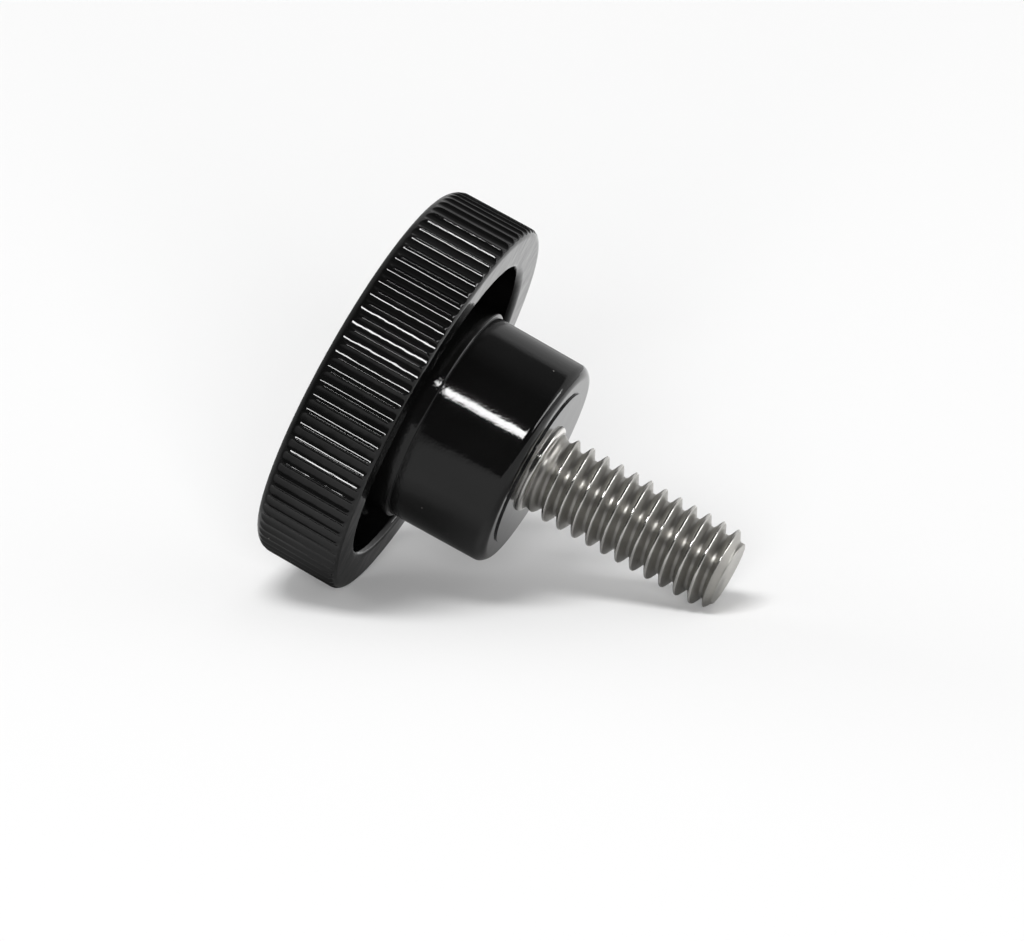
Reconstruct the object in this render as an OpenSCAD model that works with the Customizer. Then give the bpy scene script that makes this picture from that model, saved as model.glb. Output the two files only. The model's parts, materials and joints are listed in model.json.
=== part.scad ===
// Thumb screw: a moulded plastic knob with a straight-ribbed rim, moulded around a steel screw.
// It lies as it comes to rest on a table: on the rim's lower edge and on the end of the screw.
// Units are millimetres and +Z is up. Sizes are taken from a number 8-32 inch screw thread.

/* [Knob] */
// outside diameter of the gripping rim, over its ribs
rim_d = 19.4; // [17:0.1:24]
// thickness of the rim along the screw
rim_h = 4.55; // [3.6:0.05:6]
// edge rounding of the rim on the finger side
rim_top_round = 0.85; // [0.4:0.05:1.2]
// edge rounding of the rim on the screw side
rim_under_round = 0.38; // [0.2:0.02:0.8]
// height of the knob from the finger side to the seating face
knob_h = 10.1; // [8.5:0.1:13]
// diameter of the hub at its free end
hub_d = 10.48; // [9.6:0.02:12]
// draft of the hub for leaving the mould, in degrees
hub_draft = 0.5; // [0.2:0.1:1.5]
// rounding of the hub's end edge
hub_round = 0.34; // [0.15:0.01:0.5]
// diameter of the raised seating face around the screw
seat_d = 8; // [6.6:0.1:8.6]
// how far the seating face stands out from the hub's end
seat_h = 0.18; // [0.1:0.02:0.5]

/* [Ribs] */
// number of gripping ribs around the rim
ribs = 82; // [60:2:100]
// depth of the hollows between the ribs
rib_depth = 0.15; // [0.08:0.01:0.25]
// part of each rib's pitch that its hollow takes
hollow_share = 0.8; // [0.6:0.05:0.9]
// plain band that each hollow leaves next to the finger side's edge rounding
rib_land = 0.1; // [0.05:0.05:0.6]

/* [Underside] */
// inside diameter of the rim at the mouth of the hollow underside
recess_d = 15.7; // [15:0.02:16.2]
// depth of the hollow underside, from the rim's under face
recess_depth = 2.75; // [1.5:0.05:3.2]
// draft of the hollow's outer wall, in degrees
recess_draft = 3; // [1:0.5:6]
// rounding in the bottom corners of the hollow
recess_round = 0.5; // [0.3:0.05:0.8]
// how far the collar at the foot of the hub stands out past the rim's under face
collar_rise = 0.85; // [0.3:0.05:1.2]
// step from the hub out to the top of the collar
collar_step = 0.08; // [0.04:0.01:0.2]
// flare of the collar towards its foot, in degrees
collar_flare = 5; // [3:0.5:9]

/* [Screw] */
// major diameter of the thread
thread_d = 4.166; // [3.5:0.001:5]
// length of the screw from the seating face to its end
screw_l = 10.3; // [8:0.05:25]
// diameter of the shank inside the plastic, which the thread is rolled from
shank_d = 3.64; // [3:0.01:3.7]
// diameter of the small flange where the screw leaves the plastic
flange_d = 4.5; // [4.3:0.01:5.2]
// how far the flange stands out from the seating face
flange_h = 0.12; // [0.05:0.01:0.3]
// thickness of the flange inside the plastic
flange_depth = 0.4; // [0.2:0.05:0.8]
// diameter of the plain neck under the thread's start
neck_d = 3.84; // [3.5:0.01:4.1]
// length of the screw outside the plastic that has no thread
neck_l = 0.45; // [0.35:0.05:1.5]
// diameter of the flat at the screw's end
tip_d = 3.15; // [2.4:0.05:3.4]
// length of the chamfer at the screw's end
tip_l = 0.4; // [0.3:0.05:1.2]
// width across the flats of the head that anchors the screw in the plastic
anchor_w = 6.35; // [5.5:0.05:7]
// height of the anchoring head
anchor_h = 2.7; // [2:0.05:3]
// depth of the anchoring head's underside below the seating face
anchor_depth = 5.35; // [4.8:0.05:5.6]

/* [Hidden] */
$fn = 96;
rim_r = rim_d / 2;
thread_r = thread_d / 2;
hub_end = knob_h - seat_h;
hub_r = hub_d / 2;
collar_top = rim_h + collar_rise;
recess_floor = rim_h - recess_depth;
recess_r = recess_d / 2;
recess_r_low = recess_r - recess_depth * tan(recess_draft);
hub_r_low = hub_r + (hub_end - collar_top) * tan(hub_draft);
collar_r = hub_r_low + collar_step;
collar_r_low = collar_r + (collar_top - recess_floor) * tan(collar_flare);
tip_z = knob_h + screw_l;
anchor_z = knob_h - anchor_depth - anchor_h;
shank_z = anchor_z + anchor_h / 2;
// rounding centre of the hub's end edge, which meets a drafted wall
hub_round_z = hub_end - hub_round;
hub_round_r = hub_r - hub_round / cos(hub_draft) + hub_round * tan(hub_draft);
// rounding centres in the bottom corners of the hollow
foot_round_z = recess_floor + recess_round;
foot_out_r = recess_r_low + recess_round * tan(recess_draft) - recess_round / cos(recess_draft);
foot_in_r = collar_r_low - recess_round * tan(collar_flare) + recess_round / cos(collar_flare);
// the hollows between the ribs are round-bottomed, and the lowest point is a hollow between two ribs
rib_pitch = PI * rim_d / ribs;
hollow_w = rib_pitch * hollow_share;
hollow_r = (hollow_w * hollow_w / 4 + rib_depth * rib_depth) / (2 * rib_depth);
hollow_at = rim_r - rib_depth + hollow_r;
hollow_z = rim_top_round + rib_land;
// how far the tool that cuts a hollow runs out past the rim on the screw side
overrun = 1;
// lie of the whole screw: the angle at which the rim's edge and the screw's end both touch the table
reach = tip_z - tip_l - (rim_h - rim_under_round);
drop = rim_r - rim_under_round - thread_r;
lie = atan2(drop, reach) + asin(rim_under_round / sqrt(reach * reach + drop * drop));
lift = (tip_z - tip_l) * sin(lie) + thread_r * cos(lie);
front_x = max(tip_z * cos(lie) + tip_d / 2 * sin(lie), (tip_z - tip_l) * cos(lie) + thread_r * sin(lie));
back_x = rim_top_round * cos(lie) - (rim_r - rim_top_round) * sin(lie) - rim_top_round;

// lays a piece down from its own axis, which points to the screw's end
module laid() {
  translate([-(front_x + back_x) / 2, 0, lift])
    rotate([0, 90 + lie, 0])
      children();
}

// half section of the knob, in which chords stand at the rounded corners
module knob_section() {
  c = hub_round;
  polygon([
    [0, 0],
    [rim_r - rim_top_round, 0],
    [rim_r, rim_top_round],
    [rim_r, rim_h - rim_under_round],
    [rim_r - rim_under_round, rim_h],
    [recess_r, rim_h],
    [foot_out_r + recess_round * cos(recess_draft), foot_round_z - recess_round * sin(recess_draft)],
    [foot_out_r, recess_floor],
    [foot_in_r, recess_floor],
    [foot_in_r - recess_round * cos(collar_flare), foot_round_z - recess_round * sin(collar_flare)],
    [collar_r, collar_top],
    [hub_r_low, collar_top],
    [hub_round_r + c * cos(hub_draft), hub_round_z + c * sin(hub_draft)],
    [hub_round_r, hub_end],
    [seat_d / 2, hub_end],
    [seat_d / 2, knob_h],
    [0, knob_h]
  ]);
}

// half section with its corners rounded
module knob_profile() {
  difference() {
    union() {
      knob_section();
      translate([rim_r - rim_top_round, rim_top_round]) circle(rim_top_round);
      translate([rim_r - rim_under_round, rim_h - rim_under_round]) circle(rim_under_round);
      translate([hub_round_r, hub_round_z]) circle(hub_round);
    }
    translate([foot_out_r, foot_round_z]) circle(recess_round);
    translate([foot_in_r, foot_round_z]) circle(recess_round);
  }
}

// screw as one solid: anchoring head, shank, flange, neck, thread at its major diameter, chamfered end
module screw_solid() {
  translate([0, 0, anchor_z])
    cylinder(d = anchor_w / cos(30), h = anchor_h, $fn = 6);
  rotate_extrude()
    polygon([
      [0, shank_z],
      [shank_d / 2, shank_z],
      [shank_d / 2, knob_h - flange_depth],
      [flange_d / 2, knob_h - flange_depth],
      [flange_d / 2, knob_h + flange_h],
      [neck_d / 2, knob_h + flange_h],
      [neck_d / 2, knob_h + neck_l],
      [thread_r, knob_h + neck_l + thread_r - neck_d / 2],
      [thread_r, tip_z - tip_l],
      [tip_d / 2, tip_z],
      [0, tip_z]
    ]);
}

// moulded plastic knob: ribbed rim, hollow underside, hub with its collar and seating face
module knob() {
  color([0.03, 0.03, 0.03])
    laid()
      difference() {
        rotate_extrude() knob_profile();
        for (i = [0 : ribs - 1])
          rotate([0, 0, i * 360 / ribs])
            translate([hollow_at, 0, hollow_z])
              cylinder(r = hollow_r, h = rim_h - hollow_z + overrun, $fn = 48);
        screw_solid();
      }
}

// stainless steel screw, held by its head inside the plastic
module stud() {
  color([0.62, 0.61, 0.58])
    laid()
      screw_solid();
}

knob();
stud();
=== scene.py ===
import json
import math

import bpy
import numpy as np
from mathutils import Matrix, Vector


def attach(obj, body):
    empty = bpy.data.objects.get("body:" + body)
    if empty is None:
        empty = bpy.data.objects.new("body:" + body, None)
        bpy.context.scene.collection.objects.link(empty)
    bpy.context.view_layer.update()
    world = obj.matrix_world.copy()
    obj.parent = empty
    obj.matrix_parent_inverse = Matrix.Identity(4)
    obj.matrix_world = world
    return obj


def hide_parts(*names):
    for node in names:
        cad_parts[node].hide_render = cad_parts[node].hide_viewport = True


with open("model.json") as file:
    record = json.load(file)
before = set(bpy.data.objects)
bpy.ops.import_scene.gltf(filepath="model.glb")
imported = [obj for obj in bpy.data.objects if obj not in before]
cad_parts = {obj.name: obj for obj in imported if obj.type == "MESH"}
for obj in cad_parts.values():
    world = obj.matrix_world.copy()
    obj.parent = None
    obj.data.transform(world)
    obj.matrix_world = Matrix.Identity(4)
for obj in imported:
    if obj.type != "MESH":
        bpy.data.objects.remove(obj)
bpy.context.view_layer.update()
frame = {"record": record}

# The stud is a stainless steel screw with a rolled number 8-32 thread. It goes into the mould first,
# and the plastic is moulded around its head, so that only a small flange, the thread's start, the
# thread and the blunt end can be seen. Sizes are in mm; heights run from the knob's finger side.
KNOB_HEIGHT = 10.1
STUD_FOOT = 3.2
STUD_END = KNOB_HEIGHT + 10.3
SHANK_R = 1.82
THREAD_R = 2.083
THREAD_PITCH = 25.4 / 32
THREAD_DEPTH = 0.48
CREST_FLAT = THREAD_PITCH * 0.09
ROOT_FLAT = THREAD_PITCH * 0.17
FLANK_ROUNDING = 0.4
CREST_AT = 10.76
# where the stud leaves the plastic: from and to which height above it each form grows or dies out
FLANGE_R = 2.235
FLANGE_FADES = (0.1, 0.5)
FLANGE_FADES_TO_R = 1.5
FLANGE_FILLET = 0.02
START_R = 1.96
CREST_RISES = (0.4, 1.3)
GROOVE_DEEPENS = (0.1, 1.25)
# the blunt end: a chamfer, a rounded edge and a slightly dished face
TIP_R = 1.53
TIP_LENGTH = 0.4
TIP_FILLET = 0.03
TIP_EDGE = 0.07
TIP_DISH = 0.01
STUD_COLUMNS = 144
STUD_ROW = 0.028

# the record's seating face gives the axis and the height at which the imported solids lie
seat = next(m for m in frame["record"]["mounts"] if m["name"] == "seating_face")
along = Vector(seat["axis"]).normalized()
start = Vector((seat["pos_m"][0], 0, seat["pos_m"][2])) - along * KNOB_HEIGHT * 1e-3
lie = Matrix.Rotation(math.atan2(-along.z, along.x) + math.pi / 2, 4, "Y")
lay_down = Matrix.Translation(start) @ lie


def smooth_step(a, b, x):
    t = np.clip((x - a) / (b - a), 0, 1)
    return t * t * (3 - 2 * t)


def soft_min(a, b, k):
    return 0.5 * (a + b - np.sqrt((a - b) ** 2 + k * k))


def skin(name, rings):
    """One smooth closed mesh over rings of points in mm around the screw's axis; a ring may have
    a whole number of times more or fewer points than the ring before it."""
    points = []
    starts = []
    for ring in rings:
        starts.append(len(points))
        points.extend(ring)
    faces = []
    for i in range(len(rings) - 1):
        a, b, na, nb = starts[i], starts[i + 1], len(rings[i]), len(rings[i + 1])
        if na >= nb:
            k = na // nb
            for j in range(nb):
                many = [a + (j * k + m) % na for m in range(k + 1)]
                faces.append(many[::-1] + [b + j, b + (j + 1) % nb])
        else:
            k = nb // na
            for j in range(na):
                many = [b + (j * k + m) % nb for m in range(k + 1)]
                faces.append([a + (j + 1) % na, a + j] + many)
    faces.append([starts[0] + j for j in range(len(rings[0]))])
    faces.append([starts[-1] + j for j in range(len(rings[-1]))][::-1])
    mesh = bpy.data.meshes.new(name)
    place = np.array(lay_down)
    co = np.array(points) * 1e-3
    co = co @ place[:3, :3].T + place[:3, 3]
    mesh.from_pydata(co.tolist(), [], faces)
    mesh.shade_smooth()
    mesh.update()
    piece = bpy.data.objects.new(name, mesh)
    bpy.context.scene.collection.objects.link(piece)
    return piece


def ring_points(r, z, angles):
    r = np.broadcast_to(r, angles.shape)
    z = np.broadcast_to(z, angles.shape)
    return np.stack([r * np.cos(angles), r * np.sin(angles), z], 1).tolist()


def thread_radius(z, angles):
    """Radius of the rolled thread, which grows out of the flange and is chamfered at its end."""
    out = z - KNOB_HEIGHT
    turns = (z - CREST_AT) / THREAD_PITCH - angles / (2 * math.pi)
    off = np.abs(turns - np.round(turns)) * THREAD_PITCH
    flank = (off - CREST_FLAT / 2) / (THREAD_PITCH / 2 - CREST_FLAT / 2 - ROOT_FLAT / 2)
    straight = (1 - FLANK_ROUNDING) * np.clip(flank, 0, 1)
    cut = THREAD_DEPTH * (straight + FLANK_ROUNDING * smooth_step(0, 1, flank))
    crest = START_R + (THREAD_R - START_R) * smooth_step(*CREST_RISES, out)
    thread = crest - cut * smooth_step(*GROOVE_DEEPENS, out)
    flange = FLANGE_R - (FLANGE_R - FLANGE_FADES_TO_R) * smooth_step(*FLANGE_FADES, out)
    r = -soft_min(-thread, np.full_like(thread, -flange), FLANGE_FILLET)
    chamfer = TIP_R + (THREAD_R - TIP_R) * (STUD_END - z) / TIP_LENGTH
    return soft_min(r, np.full_like(r, chamfer), TIP_FILLET)


angles = np.linspace(0, 2 * math.pi, STUD_COLUMNS, endpoint=False)
rings = [ring_points(0.4, STUD_FOOT, angles),
         ring_points(SHANK_R, STUD_FOOT, angles),
         ring_points(SHANK_R, KNOB_HEIGHT - 0.35, angles),
         ring_points(FLANGE_R, KNOB_HEIGHT - 0.3, angles)]
for z in np.arange(KNOB_HEIGHT + 0.08, STUD_END - TIP_EDGE, STUD_ROW):
    rings.append(ring_points(thread_radius(z, angles), z, angles))
edge = thread_radius(STUD_END - TIP_EDGE, angles)
for turn in np.linspace(0.12, 1, 8) * math.pi / 2:
    r = edge - TIP_EDGE * (1 - math.cos(turn))
    rings.append(ring_points(r, STUD_END - TIP_EDGE + TIP_EDGE * math.sin(turn), angles))
rings.append(ring_points((edge - TIP_EDGE) * 0.98, STUD_END, angles))
rings.append(ring_points((edge - TIP_EDGE) * 0.6, STUD_END - TIP_DISH * 0.4, angles))
rings.append(ring_points(0.25, STUD_END - TIP_DISH, angles))
stud = skin("stud_threaded", rings)


def linear(hex_colour):
    parts = [int(hex_colour[i:i + 2], 16) / 255 for i in (1, 3, 5)]
    return tuple(c / 12.92 if c <= 0.04045 else ((c + 0.055) / 1.055) ** 2.4 for c in parts) + (1,)


def add(owner, kind, inputs=(), **settings):
    """Adds a node with its settings; an input is a value, or a socket to link from."""
    new = owner.node_tree.nodes.new(kind)
    for key, value in settings.items():
        setattr(new, key, value)
    for key, value in dict(inputs).items():
        if isinstance(value, bpy.types.NodeSocket):
            owner.node_tree.links.new(value, new.inputs[key])
        else:
            new.inputs[key].default_value = value
    return new


def finish_named(name):
    material = bpy.data.materials.new(name)
    material.use_nodes = True
    material.node_tree.nodes.clear()
    return material


def distance_from_axis(owner, where):
    """Socket with the distance in metres of a point of the surface from the screw's axis."""
    arm = add(owner, "ShaderNodeVectorMath", {0: where, 1: start}, operation="SUBTRACT")
    arm = add(owner, "ShaderNodeVectorMath", {0: arm.outputs[0], 1: along}, operation="CROSS_PRODUCT")
    return add(owner, "ShaderNodeVectorMath", {0: arm.outputs[0]}, operation="LENGTH").outputs["Value"]


# Rolled stainless steel. The dies leave marks around the screw, drawn coarser than they are so that
# they show, and these stretch a highlight along the screw. The flanks are satin, with two finishes
# mixed so that a highlight has a soft halo. The crests are burnished smoother, and their colour is
# painted lighter, which paints a bright highlight line along each crest.
ROLLING_MARK = 0.08e-3
ROLLING_MARK_DEPTH = 0.002e-3
STAIN_SIZE = 1.2e-3
CREST_BURNISH_AND_PAINTED_HIGHLIGHT_FROM_R, CREST_BURNISH_AND_PAINTED_HIGHLIGHT_AT_R = 2.03e-3, 2.07e-3
ALONG_THE_SCREW = 0.25
steel = finish_named("stainless_steel_rolled")
where = add(steel, "ShaderNodeTexCoord").outputs["Object"]
height = add(steel, "ShaderNodeVectorMath", {0: where, 1: along}, operation="DOT_PRODUCT")
marks = add(steel, "ShaderNodeTexNoise", {
    "W": height.outputs["Value"], "Scale": 1 / ROLLING_MARK, "Detail": 2.0}, noise_dimensions="1D")
stain = add(steel, "ShaderNodeTexNoise", {"Vector": where, "Scale": 1 / STAIN_SIZE, "Detail": 3.0})
crest_burnish_and_painted_highlight = add(steel, "ShaderNodeMapRange", {
    "Value": distance_from_axis(steel, where), "From Min": CREST_BURNISH_AND_PAINTED_HIGHLIGHT_FROM_R, "From Max": CREST_BURNISH_AND_PAINTED_HIGHLIGHT_AT_R})
tone = add(steel, "ShaderNodeMix", {
    "Factor": stain.outputs["Fac"], "A": linear("#a8a6a1"), "B": linear("#c8c6c1")}, data_type="RGBA")
# painted highlight: the crests' colour is lifted towards white; only their lower roughness is the real
# burnish
tone = add(steel, "ShaderNodeMix", {
    "Factor": crest_burnish_and_painted_highlight.outputs["Result"], "A": tone.outputs["Result"], "B": linear("#f2f0ec")},
    data_type="RGBA")
rough = add(steel, "ShaderNodeMapRange", {
    "Value": marks.outputs["Fac"], "From Min": 0.3, "From Max": 0.7, "To Min": 0.32, "To Max": 0.46})
rough = add(steel, "ShaderNodeMix", {
    "Factor": crest_burnish_and_painted_highlight.outputs["Result"], "A": rough.outputs["Result"], "B": 0.2}, data_type="FLOAT")
bump = add(steel, "ShaderNodeBump", {
    "Height": marks.outputs["Fac"], "Strength": 0.45, "Distance": ROLLING_MARK_DEPTH})
normal = add(steel, "ShaderNodeNewGeometry").outputs["Normal"]
around = add(steel, "ShaderNodeVectorMath", {0: normal, 1: along}, operation="CROSS_PRODUCT")
metal = add(steel, "ShaderNodeBsdfPrincipled", {
    "Base Color": tone.outputs["Result"], "Metallic": 1.0, "Roughness": rough.outputs["Result"],
    "Normal": bump.outputs["Normal"], "Anisotropic": 0.5, "Anisotropic Rotation": ALONG_THE_SCREW,
    "Tangent": around.outputs[0]})
satin = add(steel, "ShaderNodeBsdfPrincipled", {
    "Base Color": tone.outputs["Result"], "Metallic": 1.0, "Roughness": 0.52, "Anisotropic": 0.7,
    "Anisotropic Rotation": ALONG_THE_SCREW, "Tangent": around.outputs[0]})
share = add(steel, "ShaderNodeMapRange", {"Value": crest_burnish_and_painted_highlight.outputs["Result"], "To Min": 0.25, "To Max": 0.0})
both = add(steel, "ShaderNodeMixShader", {
    "Fac": share.outputs["Result"], 1: metal.outputs["BSDF"], 2: satin.outputs["BSDF"]})
add(steel, "ShaderNodeOutputMaterial", {"Surface": both.outputs[0]})
stud.data.materials.append(steel)
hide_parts("stud")
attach(stud, "root")

# The knob is one moulding of black gloss plastic around the stud: a rim with straight ribs, hollow
# underneath so that it cools evenly, and a hub with a collar at its foot and a raised seating face.
RIM_R = 9.7
RIM_HEIGHT = 4.55
RIM_DRAFT = 0.011
FINGER_EDGE = 0.85
UNDER_EDGE = 0.38
RIBS = 82
RIB_AT = math.radians(2.99)
RECESS_R = 7.66
RECESS_FOOT_R = 7.57
RECESS_FLOOR = 1.8
RECESS_MOUTH_ROUND = 0.32
RECESS_CORNER_ROUND = 0.5
COLLAR_FOOT_R = 5.674
COLLAR_R = 5.43
COLLAR_TOP = 4.96
COLLAR_EDGE = 0.09
HUB_FOOT_R = 5.284
HUB_R = 5.24
HUB_END = 10.02
HUB_BEVEL = 0.34
HUB_BEVEL_ROUND = 0.45
SEAT_R = 4.0
STUD_HOLE_R = 2.25
STUD_HOLE_DEPTH = 0.3


def edge_line(corners, hold=0.015):
    """Half section in mm through (r, z, rounding, steps) corners, with a row held close to each end
    of a rounding so that the faces beside it stay flat."""
    line = []
    for i, (r, z, rounding, steps) in enumerate(corners):
        here = Vector((r, z))
        if not rounding:
            line.append((r, z))
            continue
        back = (Vector(corners[i - 1][:2]) - here).normalized()
        on = (Vector(corners[i + 1][:2]) - here).normalized()
        half = back.angle(on) / 2
        swing = math.pi - 2 * half
        reach = rounding / math.tan(half)
        centre = here + (back + on).normalized() * rounding / math.sin(half)
        first = here + back * reach - centre
        last = here + on * reach - centre
        line.append(tuple(here + back * (reach + hold)))
        for s in range(steps + 1):
            t = s / steps
            arm = (first * math.sin((1 - t) * swing) + last * math.sin(t * swing)) / math.sin(swing)
            line.append(tuple(centre + arm))
        line.append(tuple(here + on * (reach + hold)))
    return line


# the rim's wall has a little draft, and its two roundings have closer rows where the hollows run out
WALL_TOP = RIM_HEIGHT - UNDER_EDGE
FINGER_TURNS = np.radians([90, 80, 70, 60, 50, 42, 37, 33, 30, 27, 24, 21, 18, 15, 12, 9, 6, 3, 0])
WALL_ROWS = (1.2, 1.9, 2.6, 3.3, 3.9)
UNDER_TURNS = np.radians([0, 6, 12, 18, 24, 30, 36, 42, 48, 54, 62, 72, 81, 90])


def wall_radius(z):
    return RIM_R - RIM_DRAFT * (WALL_TOP - z)


rim_line = []
for turn in FINGER_TURNS:
    r = wall_radius(FINGER_EDGE) - FINGER_EDGE * (1 - math.cos(turn))
    rim_line.append((r, FINGER_EDGE * (1 - math.sin(turn))))
for z in WALL_ROWS:
    rim_line.append((wall_radius(z), z))
for turn in UNDER_TURNS:
    rim_line.append((RIM_R - UNDER_EDGE * (1 - math.cos(turn)), WALL_TOP + UNDER_EDGE * math.sin(turn)))
finger_side = [(3.0, 0), (6.0, 0), (8.0, 0)]
under_line = edge_line([
    (RIM_R - UNDER_EDGE - 0.04, RIM_HEIGHT, 0, 0),
    (RECESS_R, RIM_HEIGHT, RECESS_MOUTH_ROUND, 10),
    (RECESS_FOOT_R, RECESS_FLOOR, RECESS_CORNER_ROUND, 8),
    (COLLAR_FOOT_R, RECESS_FLOOR, RECESS_CORNER_ROUND, 8),
    (COLLAR_R, COLLAR_TOP, COLLAR_EDGE, 6),
    (HUB_FOOT_R, COLLAR_TOP, 0.015, 3),
    (HUB_R, HUB_END - HUB_BEVEL, HUB_BEVEL_ROUND, 6),
    (HUB_R - HUB_BEVEL, HUB_END, HUB_BEVEL_ROUND, 6),
    (SEAT_R, HUB_END, 0.012, 3),
    (SEAT_R, KNOB_HEIGHT, 0.02, 4),
    (STUD_HOLE_R, KNOB_HEIGHT, 0.03, 4),
    (STUD_HOLE_R, KNOB_HEIGHT - STUD_HOLE_DEPTH, 0, 0)])

# A hollow in section, from its middle to the middle of a rib: its slope in degrees, and where in mm.
# The floor is a shallow dish, and a tight fillet leads up a steep wall to the narrow rounded rib.
pitch = 2 * math.pi * RIM_R / RIBS
slope_at = np.array([0, 0.056, 0.100, 0.138, 0.164, 0.187, 0.212, 0.238,
                     0.271, 0.303, 0.321, 0.327, 0.336, 0.347, 0.358, pitch / 2])
slope = np.radians([0, 3, 6, 10, 15, 20, 25, 30, 36, 42, 47, 49, 40, 24, 10, 0])
step = np.linspace(0, pitch / 2, 2001)
slope_of_step = np.interp((step[1:] + step[:-1]) / 2, slope_at, slope)
rise = np.concatenate([[0], np.cumsum(np.tan(slope_of_step) * np.diff(step))])
HOLLOW_DEPTH = rise[-1]

# the mesh has its columns where the slope changes, and COARSE columns where there are no ribs
side = np.array([0.06, 0.125, 0.165, 0.20, 0.235, 0.265, 0.290, 0.311, 0.327, 0.342, 0.358])
across = np.concatenate([-side[::-1], [0], side, [pitch / 2]]) / RIM_R
fine = (np.arange(RIBS)[:, None] * (2 * math.pi / RIBS) + RIB_AT + across[None, :]).ravel()
hollow = np.tile(HOLLOW_DEPTH - np.interp(np.abs(across) * RIM_R, step, rise), RIBS)
COARSE = 3 * RIBS
coarse = fine.reshape(COARSE, -1)[:, 0]
RIB_END_FILLET = 0.008

rings = [ring_points(r, z, coarse) for r, z in finger_side]
for r, z in rim_line:
    ribbed = soft_min(np.full(len(fine), r), wall_radius(z) - hollow, RIB_END_FILLET)
    rings.append(ring_points(ribbed, z, fine))
rings += [ring_points(r, z, coarse) for r, z in under_line]
knob = skin("knob_moulded", rings)

# Glossy moulded ABS: near black, with the mould's fine texture, which frays the edges of a reflection.
# The rim has shrunk a little unevenly, which breaks the bright lines on its ribs, and there is some dust.
PEEL_SIZE, PEEL_DEPTH = 0.12e-3, 0.003e-3
WAVE_SIZE, HUB_WAVE_DEPTH, RIM_WAVE_DEPTH = 1.3e-3, 0.008e-3, 0.042e-3
CLOUD_SIZE = 2.5e-3
DUST_SPACING = 0.9e-3
HUB_TO_R, RIM_FROM_R = 6e-3, 7.5e-3
plastic = finish_named("black_abs_gloss")
where = add(plastic, "ShaderNodeTexCoord").outputs["Object"]
peel = add(plastic, "ShaderNodeTexNoise", {"Vector": where, "Scale": 1 / PEEL_SIZE, "Detail": 2.0})
wave = add(plastic, "ShaderNodeTexNoise", {"Vector": where, "Scale": 1 / WAVE_SIZE, "Detail": 2.0})
cloud = add(plastic, "ShaderNodeTexNoise", {"Vector": where, "Scale": 1 / CLOUD_SIZE, "Detail": 3.0})
mote = add(plastic, "ShaderNodeTexVoronoi", {"Vector": where, "Scale": 1 / DUST_SPACING})
speck = add(plastic, "ShaderNodeMapRange", {
    "Value": mote.outputs["Distance"], "From Min": 0.03, "From Max": 0.055, "To Min": 1.0, "To Max": 0.0})
lot = add(plastic, "ShaderNodeSeparateColor", {"Color": mote.outputs["Color"]})
lot = add(plastic, "ShaderNodeMapRange", {
    "Value": lot.outputs["Red"], "From Min": 0.6, "From Max": 0.95, "To Min": 0.0, "To Max": 0.6})
dust = add(plastic, "ShaderNodeMath", {0: speck.outputs["Result"], 1: lot.outputs["Result"]},
           operation="MULTIPLY")
tone = add(plastic, "ShaderNodeMix", {
    "Factor": cloud.outputs["Fac"], "A": linear("#030303"), "B": linear("#080808")}, data_type="RGBA")
tone = add(plastic, "ShaderNodeMix", {
    "Factor": dust.outputs[0], "A": tone.outputs["Result"], "B": linear("#8a8884")}, data_type="RGBA")
rough = add(plastic, "ShaderNodeMapRange", {
    "Value": cloud.outputs["Fac"], "From Min": 0.3, "From Max": 0.7, "To Min": 0.06, "To Max": 0.10})
radius = distance_from_axis(plastic, where)
wave_depth = add(plastic, "ShaderNodeMapRange", {
    "Value": radius, "From Min": HUB_TO_R, "From Max": RIM_FROM_R,
    "To Min": HUB_WAVE_DEPTH, "To Max": RIM_WAVE_DEPTH})
peel_strength = add(plastic, "ShaderNodeMapRange", {
    "Value": radius, "From Min": HUB_TO_R, "From Max": RIM_FROM_R, "To Min": 1.0, "To Max": 0.25})
bump = add(plastic, "ShaderNodeBump", {
    "Height": wave.outputs["Fac"], "Strength": 1.0, "Distance": wave_depth.outputs["Result"]})
bump = add(plastic, "ShaderNodeBump", {
    "Height": peel.outputs["Fac"], "Strength": peel_strength.outputs["Result"], "Distance": PEEL_DEPTH,
    "Normal": bump.outputs["Normal"]})
gloss = add(plastic, "ShaderNodeBsdfPrincipled", {
    "Base Color": tone.outputs["Result"], "IOR": 1.5, "Roughness": rough.outputs["Result"],
    "Normal": bump.outputs["Normal"]})
add(plastic, "ShaderNodeOutputMaterial", {"Surface": gloss.outputs["BSDF"]})
knob.data.materials.append(plastic)
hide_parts("knob")
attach(knob, "root")

# The table is a wide sheet of white card. It is matt and the same all over to the camera and to matt
# surfaces, but what shines sees painted shade on it: dimmer under the rim and under the stud, and towards
# the darker front and left.
SHEET_LEFT, SHEET_RIGHT, SHEET_FRONT, SHEET_BACK = -0.16, 0.4, -0.16, 0.6
UNDER_RIM, UNDER_STUD = (-0.008, 0.002, 0), (0.006, -0.001, 0)
mesh = bpy.data.meshes.new("table")
mesh.from_pydata([(SHEET_LEFT, SHEET_FRONT, 0), (SHEET_RIGHT, SHEET_FRONT, 0),
                  (SHEET_RIGHT, SHEET_BACK, 0), (SHEET_LEFT, SHEET_BACK, 0)], [], [(0, 1, 2, 3)])
table = bpy.data.objects.new("table", mesh)
bpy.context.scene.collection.objects.link(table)
paper = finish_named("white_card")
spot = add(paper, "ShaderNodeNewGeometry").outputs["Position"]
part = add(paper, "ShaderNodeSeparateXYZ", {"Vector": spot})
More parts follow.
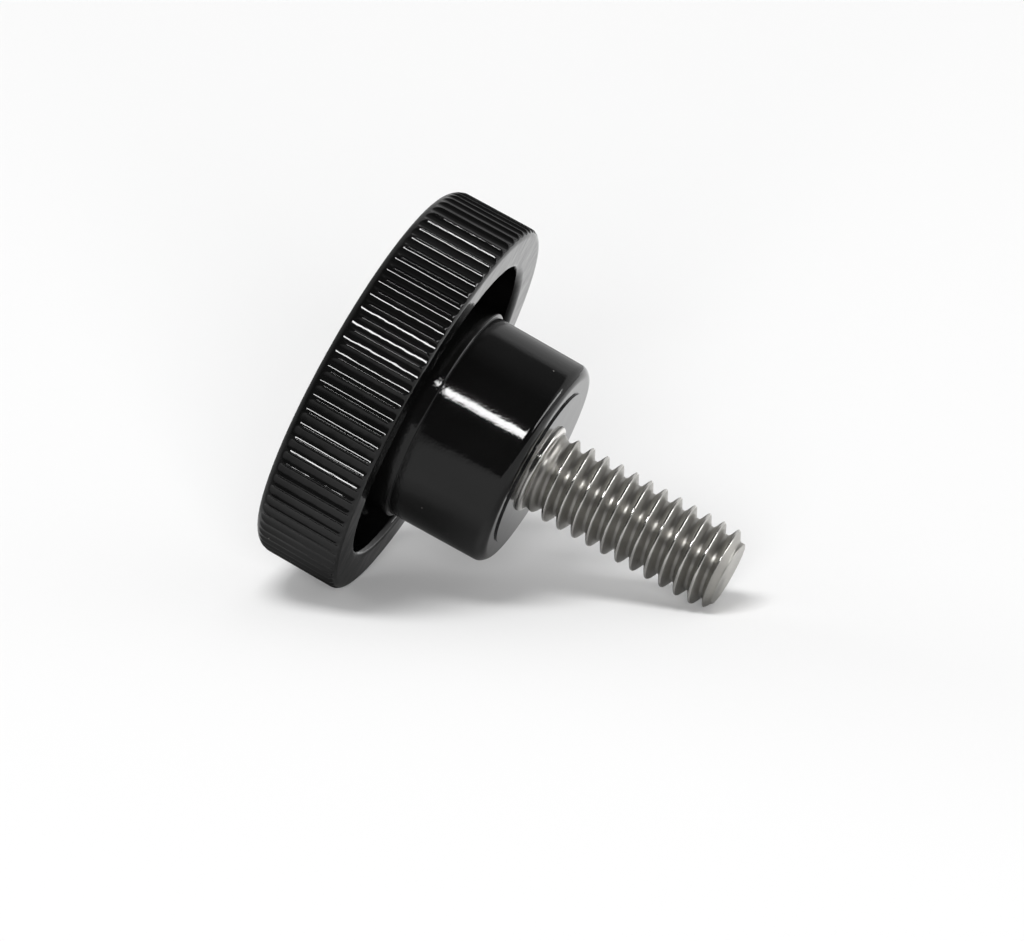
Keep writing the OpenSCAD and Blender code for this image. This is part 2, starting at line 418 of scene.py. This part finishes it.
# painted shade: the card's colour is made darker under the rim, under the stud and towards the front and
# left
gap = add(paper, "ShaderNodeVectorMath", {0: spot, 1: UNDER_RIM}, operation="DISTANCE")
painted_rim_shade = add(paper, "ShaderNodeMapRange", {
    "Value": gap.outputs["Value"], "From Min": 0.005, "From Max": 0.012, "To Min": 0.3, "To Max": 1.0})
gap = add(paper, "ShaderNodeVectorMath", {0: spot, 1: UNDER_STUD}, operation="DISTANCE")
painted_stud_shade = add(paper, "ShaderNodeMapRange", {
    "Value": gap.outputs["Value"], "From Min": 0.003, "From Max": 0.007, "To Min": 0.4, "To Max": 1.0})
front = add(paper, "ShaderNodeMapRange", {
    "Value": part.outputs["Y"], "From Min": -0.006, "From Max": 0.004, "To Min": 0.55, "To Max": 1.0})
left = add(paper, "ShaderNodeMapRange", {
    "Value": part.outputs["X"], "From Min": -0.022, "From Max": -0.011, "To Min": 0.2, "To Max": 1.0})
shade = painted_rim_shade.outputs["Result"]
for dimmer in (front, left, painted_stud_shade):
    shade = add(paper, "ShaderNodeMath", {0: shade, 1: dimmer.outputs["Result"]},
                operation="MULTIPLY").outputs[0]
# only reflections see this painted shade; the camera and matt surfaces see the card evenly white
seen = add(paper, "ShaderNodeLightPath")
shade = add(paper, "ShaderNodeMix", {
    "Factor": seen.outputs["Is Glossy Ray"], "A": 1.0, "B": shade}, data_type="FLOAT")
tone = add(paper, "ShaderNodeMix", {
    "Factor": shade.outputs["Result"], "A": (0, 0, 0, 1), "B": linear("#e8e8e8")}, data_type="RGBA")
card = add(paper, "ShaderNodeBsdfDiffuse", {"Color": tone.outputs["Result"]})
add(paper, "ShaderNodeOutputMaterial", {"Surface": card.outputs[0]})
mesh.materials.append(paper)

# The room is white to the camera and a soft even dome to matt surfaces. What shines sees a dark room
# with a pale wall behind, which is brighter low down and to the right.
ROOM_DARK = 0.03
DOME = 0.39
world = bpy.data.worlds.new("studio")
bpy.context.scene.world = world
world.use_nodes = True
world.node_tree.nodes.clear()
way = add(world, "ShaderNodeTexCoord").outputs["Generated"]
part = add(world, "ShaderNodeSeparateXYZ", {"Vector": way})
low = add(world, "ShaderNodeMapRange", {
    "Value": part.outputs["Z"], "From Min": 0.63, "From Max": 0.74, "To Min": 0.5, "To Max": 0.1})
left = add(world, "ShaderNodeMapRange", {
    "Value": part.outputs["X"], "From Min": -0.55, "From Max": -0.25, "To Min": 0.3, "To Max": 1.0})
back = add(world, "ShaderNodeMapRange", {"Value": part.outputs["Y"], "From Min": -0.1, "From Max": 0.3})
wall = low.outputs["Result"]
for dimmer in (left, back):
    wall = add(world, "ShaderNodeMath", {0: wall, 1: dimmer.outputs["Result"]},
               operation="MULTIPLY").outputs[0]
room = add(world, "ShaderNodeMath", {0: wall, 1: ROOM_DARK}, operation="ADD")
seen = add(world, "ShaderNodeLightPath")
level = add(world, "ShaderNodeMix", {
    "Factor": seen.outputs["Is Diffuse Ray"], "A": room.outputs[0], "B": DOME}, data_type="FLOAT")
level = add(world, "ShaderNodeMix", {
    "Factor": seen.outputs["Is Camera Ray"], "A": level.outputs["Result"], "B": 1.0}, data_type="FLOAT")
sky = add(world, "ShaderNodeBackground", {"Color": (1, 1, 1, 1), "Strength": level.outputs["Result"]})
add(world, "ShaderNodeOutputWorld", {"Surface": sky.outputs[0]})
world.cycles.sampling_method = "NONE"


# Large softboxes, some metres away. The strip and the side lamp are for what shines: the bright line
# along the hub and the ribs, and the screw's end. The key and the two fills cast the soft shadows.
def softbox(name, towards, away, wide, high, radiance):
    """A rectangular lamp that faces the screw; its radiance is what a mirror would show."""
    lamp = bpy.data.lights.new(name, "AREA")
    lamp.shape = "RECTANGLE"
    lamp.size = wide
    lamp.size_y = high
    lamp.energy = radiance * math.pi * wide * high
    box = bpy.data.objects.new(name, lamp)
    towards = Vector(towards).normalized()
    turned = towards.to_track_quat("Z", "Y").to_matrix().to_4x4()
    box.matrix_world = Matrix.Translation(towards * away) @ turned
    bpy.context.scene.collection.objects.link(box)
    return box


softbox("strip_lamp", (0.155, -0.738, 0.657), 6.0, 1.9, 0.72, 25).visible_diffuse = False
softbox("side_lamp", (0.95, 0.05, 0.35), 4.0, 4.0, 0.9, 5).visible_diffuse = False
softbox("key_lamp", (-0.0525, -0.4671, 0.8829), 6.0, 3.2, 1.8, 12.1).visible_glossy = False
softbox("front_fill", (0.2807, -0.9434, 0.1736), 6.0, 2.4, 1.8, 45).visible_glossy = False
softbox("back_fill", (-0.93, 0.31, 0.1736), 6.0, 4.8, 1.8, 3.5).visible_glossy = False

# The camera looks down on the table through a long lens, with the screw's end to the right.
SENSOR = 36.0
FOCAL_PIXELS, PICTURE_PIXELS = 12000, 1024
CAMERA_AT = Vector((157.0994e-3, -527.5277e-3, 139.7055e-3))
CAMERA_RIGHT = Vector((0.958496, 0.285106, 0))
CAMERA_AHEAD = Vector((-0.277046, 0.931400, -0.236094))
view = bpy.data.cameras.new("camera")
view.sensor_fit = "HORIZONTAL"
view.sensor_width = SENSOR
view.lens = SENSOR * FOCAL_PIXELS / PICTURE_PIXELS
camera = bpy.data.objects.new("camera", view)
right = CAMERA_RIGHT.normalized()
up = right.cross(CAMERA_AHEAD).normalized()
turned = Matrix((right, up, -up.cross(right))).transposed().to_4x4()
camera.matrix_world = Matrix.Translation(CAMERA_AT) @ turned
bpy.context.scene.collection.objects.link(camera)
bpy.context.scene.camera = camera
bpy.context.scene.view_settings.view_transform = "Standard"
